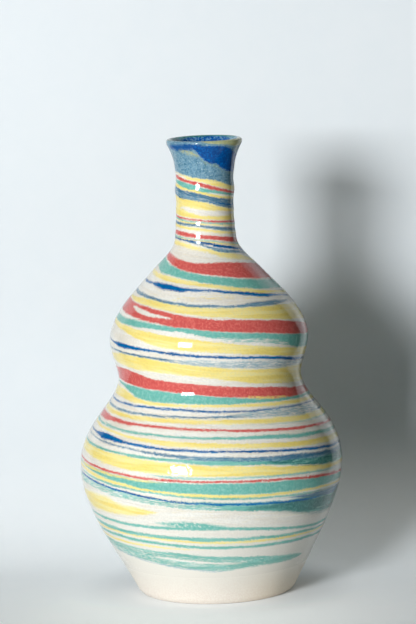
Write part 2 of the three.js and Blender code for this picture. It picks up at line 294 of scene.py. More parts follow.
# one streak laid over the clay that is already there: it ends in a feathered and torn edge, fades
# out where it is drawn thin, and is rubbed through where the clay was dry
draw, into, out = new_group(
    "clay_streak",
    [("Ground", COLOUR), ("Light", COLOUR), ("Deep", COLOUR), ("Upper", NUMBER), ("Lower", NUMBER),
     ("Height", NUMBER), ("Brushing", NUMBER), ("Scratches", NUMBER), ("Clouds", NUMBER),
     ("Grain", NUMBER), ("Feather", NUMBER), ("Ragged", NUMBER), ("Dry", NUMBER), ("Uneven", NUMBER)],
    [("Color", COLOUR)],
)
top = draw.math("MULTIPLY", into["Upper"], TALL)
bottom = draw.math("MULTIPLY", into["Lower"], TALL)
inside = draw.math(
    "MINIMUM", draw.math("SUBTRACT", top, into["Height"]), draw.math("SUBTRACT", into["Height"], bottom)
)
torn = draw.math("MULTIPLY_ADD", into["Brushing"], into["Ragged"], inside)
half_feather = draw.math("MULTIPLY", into["Feather"], 0.5)
mask = draw.ramp(torn, draw.math("MULTIPLY", half_feather, -1.0), half_feather)
mask = draw.math("MULTIPLY", mask, draw.ramp(draw.math("SUBTRACT", top, bottom), *STREAK_END))
rubbed = draw.ramp(
    into["Scratches"], draw.math("SUBTRACT", into["Dry"], 0.06), draw.math("ADD", into["Dry"], 0.1)
)
mask = draw.math("MULTIPLY", mask, rubbed)
tone = draw.blend(draw.ramp(into["Clouds"], *CLOUD_EDGES), into["Light"], into["Deep"])
specks = draw.math("MULTIPLY", draw.ramp(into["Grain"], 0.45, 0.58), into["Uneven"])
tone = draw.blend(specks, tone, into["Deep"])
draw.put(draw.blend(mask, into["Ground"], tone), out["Color"])
clay_streak = draw.tree

# Heights of each winding streak's upper and lower edge, turn by turn from the collar down. Each
# entry is a turn, and an angle from the front in degrees, positive to the right.
RED = [
    (0, -150, 233.0, 233.0), (0, -71, 230.6, 228.8), (0, -60, 230.2, 228.0), (0, -45, 229.2, 227.5),
    (0, -30, 228.3, 226.7), (0, -12, 227.6, 225.8), (0, 0, 226.9, 224.7), (0, 15, 225.4, 223.2),
    (0, 30, 224.0, 222.3), (0, 45, 222.9, 221.3), (0, 60, 221.8, 220.4),
    (1, -70, 208.7, 207.8), (1, -30, 207.6, 206.7), (1, 3, 206.7, 205.8), (1, 50, 205.3, 204.4),
    (2, -66, 200.6, 198.3), (2, -30, 199.8, 197.6), (2, -10, 198.9, 196.9), (2, 10, 198.3, 196.3),
    (2, 30, 197.6, 195.3), (2, 55, 196.5, 193.9),
    (3, -77, 188.3, 186.1), (3, -57, 187.4, 184.4), (3, -43, 186.1, 182.6), (3, -23, 185.0, 180.6),
    (3, -3, 184.2, 178.9), (3, 17, 184.3, 177.4), (3, 37, 183.6, 175.8), (3, 60, 182.4, 174.2),
    (4, -63, 163.3, 157.2), (4, -43, 162.2, 155.6), (4, -30, 160.7, 154.4), (4, -17, 159.0, 153.1),
    (4, 3, 156.9, 151.1), (4, 23, 155.8, 149.4), (4, 37, 154.7, 148.0), (4, 50, 153.3, 146.1),
    (4, 63, 151.1, 144.4),
    (5, -77, 127.8, 120.7), (5, -63, 128.3, 120.0), (5, -47, 126.6, 119.2), (5, -37, 124.4, 118.6),
    (5, -23, 123.4, 117.8), (5, -10, 122.8, 116.9), (5, 3, 121.3, 115.8), (5, 17, 120.0, 114.4),
    (5, 37, 118.3, 112.2), (5, 50, 116.9, 111.1), (5, 63, 115.0, 110.6),
    (6, -63, 102.4, 100.2), (6, -50, 101.7, 100.3), (6, -23, 101.1, 99.8), (6, 3, 99.8, 98.7),
    (6, 30, 97.8, 96.5), (6, 63, 95.6, 94.3),
    (7, -73, 78.4, 77.3), (7, -43, 76.2, 75.1), (7, -23, 74.8, 73.7), (7, 3, 73.7, 72.7),
    (7, 30, 72.3, 71.2), (7, 43, 70.9, 69.7), (7, 60, 69.4, 67.6), (7, 110, 64.0, 64.0),
    (8, -75, 51.6, 51.6), (8, -22, 51.3, 51.3), (8, 0, 50.4, 50.4), (8, 15, 48.2, 48.2),
    (8, 30, 46.3, 46.3), (8, 60, 42.8, 42.8), (9, -60, 40.2, 40.2), (9, -30, 38.6, 38.6),
    (9, 0, 36.5, 36.5), (9, 30, 35.7, 35.7), (9, 60, 35.2, 35.2),
]
TEAL = [
    (0, -110, 228.8, 228.8), (0, -70, 228.0, 226.1), (0, -50, 227.6, 225.0), (0, -30, 226.3, 223.4),
    (0, -10, 225.5, 222.8), (0, 3, 223.8, 221.7), (0, 23, 222.7, 220.9), (0, 57, 220.6, 219.4),
    (1, -60, 207.3, 206.5), (1, 0, 205.7, 205.0), (1, 60, 203.8, 203.1),
    (2, -60, 197.6, 196.9), (2, 0, 196.1, 195.5), (2, 60, 193.2, 192.6),
    (3, -77, 185.6, 181.1), (3, -57, 183.8, 178.9), (3, -37, 181.6, 178.0), (3, -17, 179.6, 176.1),
    (3, 3, 178.0, 174.2), (3, 23, 176.4, 172.2), (3, 43, 174.9, 170.2), (3, 57, 173.9, 169.1),
    (4, -70, 155.7, 152.8), (4, -50, 155.3, 152.2), (4, -30, 154.0, 151.7), (4, -10, 152.4, 150.4),
    (4, 3, 150.9, 147.3), (4, 23, 149.1, 143.9), (4, 37, 147.8, 143.0), (4, 50, 145.9, 139.6),
    (4, 60, 144.8, 137.6),
    (5, -77, 119.8, 119.0), (5, -57, 119.3, 115.8), (5, -46, 118.8, 113.0), (5, -30, 118.0, 112.2),
    (5, -10, 116.8, 112.0), (5, 10, 114.9, 111.3), (5, 30, 113.0, 110.8), (5, 60, 110.7, 109.3),
    (6, -60, 98.3, 97.4), (6, -23, 96.9, 95.8), (6, 3, 95.8, 94.7), (6, 23, 95.3, 93.5),
    (6, 37, 94.2, 92.2), (6, 60, 92.2, 90.4),
    (7, -77, 76.6, 75.6), (7, -63, 76.1, 73.6), (7, -43, 74.7, 70.9), (7, -30, 73.6, 68.9),
    (7, -10, 72.6, 67.2), (7, 3, 72.2, 66.1), (7, 23, 71.2, 65.0), (7, 43, 69.6, 63.9),
    (7, 60, 67.8, 63.5),
    (8, -75, 49.6, 48.4), (8, -60, 49.0, 47.4), (8, -45, 48.3, 46.7), (8, -22, 47.9, 46.2),
    (8, 0, 48.0, 46.2), (8, 15, 46.5, 44.9), (8, 30, 44.5, 42.9), (8, 45, 42.7, 41.1),
    (8, 60, 41.3, 39.7),
    (9, -60, 40.3, 38.7), (9, -45, 39.3, 37.2), (9, -30, 38.3, 36.8), (9, -15, 37.3, 35.7),
    (9, 0, 36.1, 34.5), (9, 15, 35.6, 34.0), (9, 30, 35.4, 33.8), (9, 60, 35.0, 33.4),
    (9, 100, 33.0, 33.0),
]
YELLOW = [
    (-1, -60, 240.0, 240.0), (0, -100, 225.0, 225.0),
    (0, -70, 226.0, 224.3), (0, -50, 225.0, 223.3), (0, -10, 222.8, 221.4), (0, 10, 221.2, 219.8),
    (0, 30, 219.9, 218.4), (0, 57, 218.5, 217.4),
    (1, -60, 206.4, 205.7), (1, 0, 205.0, 204.2), (1, 60, 203.0, 202.3),
    (2, -60, 196.9, 196.3), (2, 0, 195.5, 194.9), (2, 30, 194.0, 193.2), (2, 60, 192.6, 191.9),
    (3, -77, 179.1, 177.7), (3, -57, 178.4, 176.4), (3, -37, 177.2, 175.0), (3, -10, 175.3, 173.3),
    (3, 10, 173.3, 171.6), (3, 30, 171.4, 169.4), (3, 50, 169.1, 167.3), (3, 63, 167.6, 166.0),
    (4, -63, 152.2, 149.6), (4, -57, 151.9, 148.6), (4, -37, 150.0, 144.4), (4, -17, 148.3, 141.3),
    (4, 3, 145.6, 140.0), (4, 23, 142.8, 137.6), (4, 37, 140.8, 136.1), (4, 50, 138.6, 134.0),
    (4, 63, 137.0, 132.6),
    (5, -77, 116.6, 112.4), (5, -60, 116.2, 111.9), (5, -50, 113.4, 111.1), (5, -23, 111.9, 110.6),
    (5, 3, 111.5, 110.2), (5, 30, 110.4, 108.7), (5, 57, 109.0, 107.2),
    (6, -60, 96.6, 95.6), (6, -37, 95.0, 93.6), (6, -17, 93.9, 91.3), (6, 3, 92.8, 90.6),
    (6, 23, 91.3, 88.9), (6, 43, 89.8, 87.2), (6, 60, 88.5, 85.8),
    (7, -77, 75.0, 73.6), (7, -63, 73.4, 71.3), (7, -43, 71.0, 69.4), (7, -23, 68.7, 66.9),
    (7, -10, 67.2, 65.3), (7, 10, 65.7, 63.7), (7, 30, 64.8, 63.0), (7, 50, 64.0, 62.4),
    (7, 70, 62.2, 61.2),
    (8, -90, 50.0, 50.0), (8, -60, 46.2, 46.2), (8, 60, 40.0, 40.0), (9, -90, 38.0, 38.0),
    (9, -65, 36.9, 35.5), (9, -40, 36.1, 34.9), (9, -15, 34.9, 34.3), (9, 10, 34.0, 34.0),
]
BLUE = [
    (-1, 60, 224.0, 224.0), (0, 0, 217.0, 217.0), (0, 20, 216.3, 215.8), (0, 45, 215.0, 214.3),
    (0, 60, 214.4, 213.6), (0, 110, 213.0, 212.8),
    (1, -60, 205.0, 205.0), (1, 60, 202.0, 202.0),
    (2, -57, 196.1, 195.5), (2, -30, 195.9, 195.1), (2, -10, 195.4, 194.5), (2, 10, 194.3, 193.1),
    (2, 30, 192.9, 191.2), (2, 57, 191.2, 189.7),
    (3, -77, 174.3, 173.5), (3, -55, 174.1, 172.9), (3, -37, 173.3, 171.6), (3, -17, 171.9, 170.6),
    (3, -3, 171.6, 170.7), (3, 10, 170.9, 169.8), (3, 23, 169.9, 168.6), (3, 37, 168.7, 167.0),
    (3, 50, 167.2, 165.5), (3, 63, 165.7, 164.6),
    (4, -75, 142.9, 142.0), (4, -57, 142.2, 140.6), (4, -33, 141.2, 140.0), (4, -17, 139.7, 138.3),
    (4, 3, 138.1, 136.8), (4, 23, 136.5, 135.2), (4, 37, 135.4, 133.9), (4, 50, 133.7, 132.0),
    (4, 63, 131.4, 129.9), (4, 89, 128.6, 127.8),
    (5, -70, 110.3, 109.4), (5, -23, 109.8, 108.9), (5, 3, 108.3, 107.4), (5, 30, 107.3, 106.7),
    (5, 60, 106.4, 105.8),
    (6, -77, 94.0, 93.2), (6, -55, 93.5, 92.0), (6, -33, 91.4, 90.2), (6, -17, 90.3, 89.2),
    (6, 3, 89.2, 88.2), (6, 23, 87.9, 86.8), (6, 37, 86.8, 85.5), (6, 50, 85.3, 84.0),
    (6, 63, 84.0, 82.5),
    (7, -74, 70.4, 69.3), (7, -50, 67.8, 66.8), (7, -37, 65.9, 64.9), (7, -23, 64.1, 63.2),
    (7, -7, 62.0, 61.1), (7, 10, 60.9, 59.8), (7, 23, 60.0, 58.9), (7, 37, 59.0, 57.8),
    (7, 46, 58.3, 57.3), (7, 60, 57.4, 57.0), (7, 110, 53.0, 53.0),
    (8, -60, 45.2, 45.2), (8, 60, 39.0, 39.0),
]
SLATE = [
    (-1, -179, 230.0, 230.0), (-1, 120, 226.0, 226.0),
    (0, -150, 233.0, 221.0), (0, -100, 226.0, 220.0),
    (0, -70, 224.2, 220.0), (0, -57, 223.6, 218.6), (0, -30, 222.1, 217.8), (0, -10, 221.2, 216.9),
    (0, 10, 219.7, 216.1), (0, 30, 218.2, 213.9), (0, 57, 217.2, 212.2),
    (1, -60, 205.4, 204.0), (1, -17, 204.7, 203.5), (1, 3, 203.9, 202.7), (1, 30, 202.8, 200.9),
    (1, 60, 201.4, 199.7),
    (2, -20, 195.0, 194.2), (2, 10, 192.5, 191.1), (2, 30, 190.7, 188.9), (2, 60, 189.2, 187.6),
    (3, -77, 169.0, 167.7), (3, -57, 167.9, 166.6), (3, -37, 166.5, 165.4), (3, -17, 164.9, 163.5),
    (3, 3, 163.8, 162.6), (3, 23, 162.9, 161.8), (3, 37, 163.8, 161.6), (3, 50, 163.4, 161.1),
    (3, 63, 162.6, 161.2),
    (4, -77, 138.7, 137.7), (4, -50, 137.9, 136.8), (4, -30, 136.9, 135.9), (4, -19, 136.0, 134.4),
    (4, 3, 134.6, 132.0), (4, 23, 133.5, 130.4), (4, 37, 132.4, 128.8), (4, 50, 131.4, 128.2),
    (4, 63, 128.8, 127.8),
    (5, -63, 106.9, 105.9), (5, -23, 106.2, 105.3), (5, 3, 105.7, 104.9), (5, 23, 106.4, 104.2),
    (5, 37, 107.0, 103.4), (5, 57, 105.8, 101.8), (5, 75, 102.0, 100.8),
    (6, -45, 89.8, 89.0), (6, -30, 88.5, 87.4), (6, -17, 87.4, 85.8), (6, 3, 86.0, 83.9),
    (6, 23, 84.5, 82.2), (6, 37, 84.0, 81.1), (6, 60, 81.8, 79.0),
    (7, -60, 71.0, 71.0), (7, 25, 61.6, 61.6), (7, 45, 60.6, 59.4),
    (7, 60, 60.2, 57.0), (8, -60, 45.0, 45.0), (8, 60, 38.8, 38.8), (9, 20, 34.6, 34.6),
    (9, 30, 34.9, 33.8), (9, 55, 34.6, 33.4), (9, 100, 32.8, 32.8),
]
TEAL_LINE = [
    (0, -60, 217.0, 217.0), (1, -60, 204.0, 204.0), (2, -60, 193.0, 193.0), (3, -60, 166.0, 166.0),
    (4, -60, 137.0, 137.0), (5, -60, 105.6, 105.6),
    (6, -77, 88.2, 87.0), (6, -50, 87.0, 85.9), (6, -30, 85.9, 84.6), (6, -10, 84.8, 83.2),
    (6, 3, 84.6, 81.7), (6, 23, 83.4, 80.6), (6, 37, 82.3, 78.4), (6, 50, 81.5, 76.2),
    (6, 63, 80.0, 74.4),
    (7, -70, 69.0, 65.5), (7, -50, 66.9, 63.2), (7, -30, 64.6, 60.9), (7, -10, 62.6, 58.6),
    (7, 10, 61.4, 56.9), (7, 23, 60.4, 55.0), (7, 37, 59.4, 52.8), (7, 46, 58.6, 50.6),
    (7, 60, 57.4, 48.0),
    (8, -75, 45.6, 43.9), (8, -60, 44.6, 42.2), (8, -45, 43.5, 41.6), (8, -30, 42.6, 40.9),
    (8, -15, 42.0, 40.1), (8, 0, 41.4, 39.1), (8, 15, 40.5, 38.7), (8, 30, 39.9, 38.4),
    (8, 45, 39.3, 38.0), (8, 60, 38.6, 37.4), (9, -60, 36.0, 36.0), (9, 60, 30.0, 30.0),
]
YELLOW_WIDE = [
    (-1, -110, 233.4, 233.4), (-1, -63, 232.0, 230.4), (-1, -43, 231.4, 229.4), (-1, -23, 230.4, 227.9),
    (-1, 0, 229.4, 226.8), (-1, 23, 228.7, 224.5), (-1, 37, 227.2, 223.4), (-1, 57, 225.4, 221.8),
    (0, -63, 219.0, 208.8), (0, -30, 217.7, 207.7), (0, 3, 216.4, 206.8), (0, 30, 213.9, 206.1),
    (0, 60, 212.0, 205.0),
    (1, -50, 203.7, 202.0), (1, -10, 202.5, 201.1), (1, 10, 201.7, 200.2), (1, 37, 200.3, 198.8),
    (1, 60, 199.4, 198.2),
    (2, -70, 195.2, 192.8), (2, -43, 194.3, 192.2), (2, -23, 193.2, 191.3), (2, -3, 192.1, 190.2),
    (2, 10, 191.0, 188.8), (2, 30, 189.0, 186.1), (2, 50, 187.7, 184.7), (2, 63, 186.4, 184.0),
    (3, -77, 165.8, 163.9), (3, -57, 166.5, 163.3), (3, -37, 165.4, 162.1), (3, -17, 163.7, 160.1),
    (3, 3, 162.6, 158.0), (3, 23, 161.9, 156.4), (3, 37, 161.4, 155.2), (3, 50, 161.0, 153.6),
    (3, 63, 160.4, 152.2),
    (4, -77, 135.4, 131.4), (4, -63, 136.9, 130.2), (4, -37, 136.1, 128.6), (4, -17, 134.0, 127.6),
    (4, 3, 131.8, 125.4), (4, 23, 129.5, 121.9), (4, 37, 128.2, 120.2), (4, 50, 127.5, 118.9),
    (4, 63, 127.0, 117.6),
    (5, -63, 105.4, 103.5), (5, -23, 104.8, 102.8), (5, 3, 104.1, 102.2), (5, 30, 102.9, 100.5),
    (5, 60, 101.4, 98.6),
    (6, -73, 86.8, 82.2), (6, -57, 86.0, 80.0), (6, -43, 85.3, 78.7), (6, -23, 83.7, 77.1),
    (6, -5, 82.0, 76.3), (6, 10, 81.0, 75.7), (6, 23, 79.9, 74.4), (6, 37, 77.9, 73.3),
    (6, 50, 75.7, 72.7), (6, 63, 74.2, 71.8),
    (7, -30, 60.0, 60.0), (7, 0, 53.0, 53.0),
    (8, -60, 42.3, 41.0), (8, -45, 41.6, 40.7), (8, -30, 41.0, 39.7), (8, -15, 40.3, 38.9),
    (8, 0, 39.2, 37.7), (8, 15, 38.8, 37.2), (8, 30, 38.5, 36.9), (8, 45, 37.9, 36.6),
    (8, 60, 37.3, 36.3), (9, -60, 34.0, 34.0),
]

# Short pieces of clay that lie on one side only: an angle, and their upper and lower edge.
COLLAR = [
    (-180, 259.0, 221.5), (-150, 259.0, 226.0), (-110, 259.0, 232.4), (-63, 259.0, 231.9),
    (-43, 259.0, 231.2), (-23, 259.0, 230.2), (0, 259.0, 229.3), (23, 259.0, 228.3),
    (37, 259.0, 227.0), (54, 259.0, 225.2), (90, 259.0, 223.6), (180, 259.0, 221.5),
]
COLLAR_SMEAR = [
    (-75, 246.0, 246.0), (-60, 247.2, 245.2), (-40, 248.0, 244.6), (-20, 248.2, 245.0),
    (-6, 248.2, 246.6), (4, 247.6, 247.6),
]
COLLAR_WEDGE = [
    (-17, 246.2, 246.2), (-10, 247.9, 245.0), (-5, 247.7, 242.8), (3, 247.3, 240.0), (14, 247.0, 237.6),
    (30, 246.8, 236.5), (37, 246.3, 234.6), (45, 245.5, 233.5), (58, 243.4, 232.1), (90, 240.0, 231.0),
    (120, 235.5, 232.6), (140, 233.0, 233.0),
]
COLLAR_DASH = [
    (-46, 244.6, 244.6), (-34, 245.2, 243.6), (-24, 244.8, 242.4), (-14, 244.0, 241.8),
    (-7, 243.0, 241.4), (0, 241.6, 241.6),
]
COLLAR_STRAW = [
    (-12, 242.4, 242.4), (-4, 242.0, 240.6), (3, 239.6, 237.9), (14, 237.4, 236.0),
    (30, 236.2, 234.6), (37, 234.5, 233.0), (45, 233.5, 232.2), (58, 232.2, 231.0), (75, 231.0, 231.0),
]
RIM_YELLOW = [
    (-12, 250.8, 250.8), (5, 250.8, 249.1), (20, 250.8, 248.2), (40, 250.8, 247.4), (55, 250.8, 246.2),
    (68, 250.6, 246.0), (85, 250.2, 248.0), (100, 249.5, 249.5),
]
RIM_LINE = [
    (-180, 251.0, 248.9), (-110, 251.0, 249.0), (-70, 251.0, 249.4), (-40, 250.9, 250.2),
    (-20, 250.6, 250.6), (95, 250.6, 250.6), (115, 251.0, 249.2), (180, 251.0, 248.9),
]
# deep blue clay round the back of the rim, seen inside the far rim, and laid there also as painted shade
# inside the mouth
MOUTH_BLOTCH_AND_SHADE = [
    (-180, 249.4, 244.6), (-166, 249.2, 243.6), (-150, 248.6, 242.4), (-138, 247.8, 243.8),
    (-126, 246.2, 246.2), (116, 247.6, 247.6), (130, 248.8, 246.2), (156, 249.4, 245.4),
    (180, 249.4, 244.6),
]
NECK_WHITE = [
    (-66, 213.0, 213.0), (-45, 213.8, 212.4), (-26, 213.4, 210.5), (0, 212.5, 209.2),
    (20, 211.8, 208.6), (45, 210.9, 208.2), (60, 210.2, 208.6), (90, 209.4, 209.4),
]
SHOULDER_BLUE = [
    (-64, 173.4, 173.4), (-55, 174.4, 172.5), (-46, 174.2, 171.8), (-37, 173.8, 170.9),
    (-29, 173.2, 170.9), (-20, 172.2, 170.4), (-8, 171.3, 171.3),
]
SHOULDER_WHITE = [
    (-66, 161.6, 161.6), (-61, 162.0, 160.8), (-54, 161.2, 159.2), (-46, 160.3, 158.2),
    (-37, 159.2, 157.6), (-27, 158.0, 157.2), (-18, 156.9, 156.9),
]
NECK_PALE = [
    (-100, 232.0, 232.0), (-80, 232.8, 229.8), (-62, 232.2, 229.4), (-45, 230.8, 229.0), (-30, 229.4, 229.4),
]
BULB_WISPS = [
    (-8, 147.4, 147.4), (8, 147.4, 145.4), (22, 146.2, 143.6), (36, 145.0, 142.0), (46, 143.2, 140.8),
    (56, 140.6, 140.6),
]
SHOULDER_STRAW = [
    (-35, 166.4, 166.4), (-15, 168.0, 166.2), (10, 168.8, 166.6), (35, 168.0, 165.6), (52, 166.6, 165.0),
    (70, 164.8, 164.8),
]
BULB_GAPS = [
    (-30, 135.6, 135.6), (-12, 136.0, 133.8), (10, 134.8, 131.4), (30, 133.6, 129.4), (50, 131.8, 127.8),
    (66, 129.6, 127.8), (80, 128.0, 128.0),
]
WAIST_GAPS = [
    (8, 105.6, 105.6), (24, 107.2, 104.2), (40, 107.6, 103.0), (56, 106.4, 101.6), (74, 103.6, 101.4),
    (90, 102.0, 102.0),
]
WAIST_YELLOW = [
    (14, 114.4, 114.4), (26, 114.4, 113.0), (38, 113.3, 111.9), (48, 112.3, 111.3), (58, 111.2, 111.2),
]
BULB_BLUE = [
    (-74, 142.2, 142.2), (-66, 142.9, 140.6), (-57, 142.5, 140.2), (-46, 141.9, 140.1), (-34, 140.6, 140.6),
]
BELLY_BLUE = [
    (-75, 93.3, 93.3), (-69, 94.3, 92.4), (-62, 94.6, 91.7), (-55, 94.0, 91.5), (-47, 92.8, 91.3),
    (-38, 91.6, 91.6),
]
BELLY_YELLOW = [
    (-84, 60.0, 60.0), (-74, 62.0, 53.4), (-62, 61.8, 52.5), (-52, 61.2, 52.6), (-46, 59.0, 52.8),
    (-36, 58.0, 53.6), (-22, 56.0, 56.0),
]
BELLY_FINE = [
    (-90, 72.6, 72.6), (-70, 71.8, 70.9), (-45, 69.3, 68.3), (-20, 66.8, 65.8), (0, 64.7, 63.7),
    (20, 63.4, 62.4), (45, 61.9, 60.9), (70, 60.6, 60.6),
]
BELLY_STRAW = [
    (-88, 76.6, 76.6), (-70, 76.4, 75.2), (-50, 75.0, 73.8), (-30, 73.6, 72.8), (-10, 72.4, 72.4),
]
BELLY_THREAD = [
    (-40, 77.2, 77.2), (-15, 76.1, 75.1), (10, 75.1, 74.2), (40, 73.6, 72.6), (60, 71.7, 70.9),
    (78, 70.0, 70.0),
]
BELLY_GAPS = [
    (-95, 68.0, 68.0), (-75, 68.8, 64.4), (-50, 66.6, 62.8), (-30, 64.2, 60.8), (-5, 60.8, 59.0),
    (12, 58.0, 58.0),
]
BELLY_SMEAR = [
    (10, 57.5, 57.5), (23, 58.6, 56.0), (37, 60.0, 52.6), (46, 60.4, 50.2), (58, 60.6, 47.8),
    (75, 59.0, 47.0), (95, 55.0, 49.0), (115, 51.0, 51.0),
]
# a dark teal patch on the shaded right of the belly: painted shade
BELLY_PAINTED_SHADE = [
    (20, 81.5, 81.5), (32, 82.6, 79.8), (45, 82.0, 76.8), (60, 81.0, 74.6), (75, 80.0, 74.4),
    (100, 77.0, 77.0),
]
FOOT_PATCH = [
    (-31, 49.9, 49.9), (-22, 50.7, 48.8), (-12, 50.9, 47.2), (-4, 50.3, 46.5), (3, 48.6, 46.4),
    (10, 47.0, 47.0),
]
FOOT_BAND = [
    (-110, 33.6, 33.6), (-80, 35.0, 31.0), (-70, 34.7, 29.2), (-60, 34.2, 27.9), (-45, 33.3, 26.1),
    (-30, 32.5, 24.1), (-15, 31.5, 22.5), (0, 29.9, 20.8), (8, 29.3, 20.8), (15, 28.8, 21.9),
    (30, 27.5, 22.2), (45, 26.1, 22.1), (54, 25.2, 22.6), (61, 24.0, 24.0),
]
FOOT_PALE = [
    (-40, 28.8, 28.8), (-30, 29.0, 28.0), (-15, 27.9, 26.6), (0, 26.3, 25.2), (12, 25.4, 24.7),
    (20, 24.8, 24.8),
]
FOOT_GAPS = [
    (-120, 33.0, 33.0), (-85, 34.0, 28.0), (-60, 33.2, 27.4), (-30, 31.4, 24.6), (-10, 29.6, 23.8),
    (10, 27.6, 24.4), (26, 26.0, 26.0),
]
FOOT_LINE = [
    (-80, 29.4, 29.4), (-60, 28.3, 27.3), (-45, 26.5, 25.5), (-30, 24.5, 23.5), (-15, 22.9, 21.9),
    (0, 21.3, 20.3), (14, 21.0, 21.0),
]


def down_helix(streak, side):
    """Points of a float curve: place along the helix, and the height of one edge."""
    points = [((turn + 1.5 + angle / 360) / TURNS, (upper, lower)[side] / TALL)
              for turn, angle, upper, lower in streak]
    return [(0.0, points[0][1]), *points, (1.0, points[-1][1])]


def round_side(piece, side):
    """Points of a float curve: place round the wall from the back, and the height of one edge."""
    points = [(0.5 + angle / 360, (upper, lower)[side] / TALL) for angle, upper, lower in piece]
    first = [] if points[0][0] == 0.0 else [(0.0, points[0][1])]
    last = [] if points[-1][0] == 1.0 else [(1.0, points[-1][1])]
    return [*first, *points, *last]


draw, into, out = new_group(
    "marbled_clay",
    [("Place", VECTOR)],
    [("Color", COLOUR), ("Grain", NUMBER), ("Height", NUMBER)],
)
place = into["Place"]
east, south, up = draw.feed(draw.node("ShaderNodeSeparateXYZ"), place).outputs
angle = draw.math("ARCTAN2", east, draw.math("MULTIPLY", south, -1.0))
round_share = draw.math("MULTIPLY_ADD", angle, 1 / (2 * math.pi), 0.5)
true_height = draw.math("MULTIPLY", up, 1 / MM)

# the edges waver slowly along a streak, and the clay's grain breaks them up
waver = draw.math("SUBTRACT", draw.noise(place, 95.0, 2.0, 0.5), 0.5)
fray = draw.math("SUBTRACT", draw.noise(place, 1550.0, 2.0, 0.7), 0.5)
height = draw.math("MULTIPLY_ADD", waver, WAVER, true_height)
height = draw.math("MULTIPLY_ADD", fray, FRAY, height)

# which turn of the helix a point lies in: one more for each boundary that is above it
turn = None
for number in range(BOUNDARIES):
    where = draw.math("MULTIPLY_ADD", round_share, 1 / TURNS, (number + 1) / TURNS)
    edge = draw.math("MULTIPLY_ADD", draw.curve(where, down_helix(RED, 0)), TALL, TURN_GAP)
    below = draw.math("LESS_THAN", height, edge)
    turn = below if turn is None else draw.math("ADD", turn, below)
helix_share = draw.math("MULTIPLY", draw.math("ADD", turn, round_share), 1 / TURNS)

# unevenness drawn out along the streaks: it follows the helix, and is thin across it
turn_edge = draw.math("MULTIPLY", draw.curve(helix_share, down_helix(RED, 0)), TALL)
drop = draw.math("SUBTRACT", turn_edge, true_height)
across = draw.math("MULTIPLY_ADD", drop, 0.014, draw.math("MULTIPLY", turn, 0.37))
drawn_out = draw.feed(draw.node("ShaderNodeCombineXYZ"), east, south, across).outputs[0]
brushed = draw.math("SUBTRACT", draw.noise(drawn_out, 95.0, 5.0, 0.68), 0.5)
scratched = draw.noise(drawn_out, 210.0, 4.0, 0.75)
clouded = draw.noise(drawn_out, 34.0, 3.0, 0.55)
mottled = draw.noise(place, 640.0, 4.0, 0.85)
grain = draw.noise(place, 1150.0, 2.0, 0.75)

# each clay as a light and a deep tone
CREAM = srgb(243, 240, 232), srgb(234, 227, 214)
YELLOW_CLAY = srgb(252, 238, 168), srgb(247, 224, 126)
TEAL_CLAY = srgb(150, 209, 198), srgb(106, 181, 168)
SLATE_CLAY = srgb(138, 174, 192), srgb(72, 120, 150)
RED_CLAY = srgb(239, 127, 117), srgb(208, 88, 84)
BLUE_CLAY = srgb(0, 124, 192), srgb(0, 88, 150)
WEDGE_CLAY = srgb(0, 114, 200), srgb(0, 68, 138)
DARK_TEAL = srgb(100, 168, 158), srgb(54, 116, 116)
PALE_TEAL = srgb(172, 214, 206), srgb(138, 196, 186)
COLLAR_CLAY = srgb(140, 180, 200), srgb(74, 124, 153)
COLLAR_LIGHT = srgb(174, 200, 206), srgb(150, 182, 194)
SMEAR_CLAY = srgb(52, 114, 174), srgb(16, 76, 142)
PALE_SLATE = srgb(182, 204, 208), srgb(148, 180, 190)
STRAW = srgb(214, 212, 158), srgb(176, 182, 136)
OLIVE = srgb(172, 186, 146), srgb(128, 152, 138)

# the cream ground: clouded and stained among the streaks, and plain towards the foot
in_marbling = draw.ramp(true_height, *MARBLED_FROM)
clouds = draw.math("MULTIPLY", draw.ramp(clouded, *CLOUD_EDGES), in_marbling)
plain = draw.math("MULTIPLY_ADD", in_marbling, -0.6, 0.6)
colour = draw.blend(draw.math("ADD", clouds, plain), *CREAM)
stains = [
    (draw.ramp(scratched, 0.54, 0.72, 0.0, 0.55), srgb(243, 228, 170)),
    (draw.ramp(brushed, -0.12, -0.25, 0.0, 0.4), srgb(186, 206, 200)),
]
for stain, tint in stains:
    colour = draw.blend(draw.math("MULTIPLY", stain, in_marbling), colour, tint)

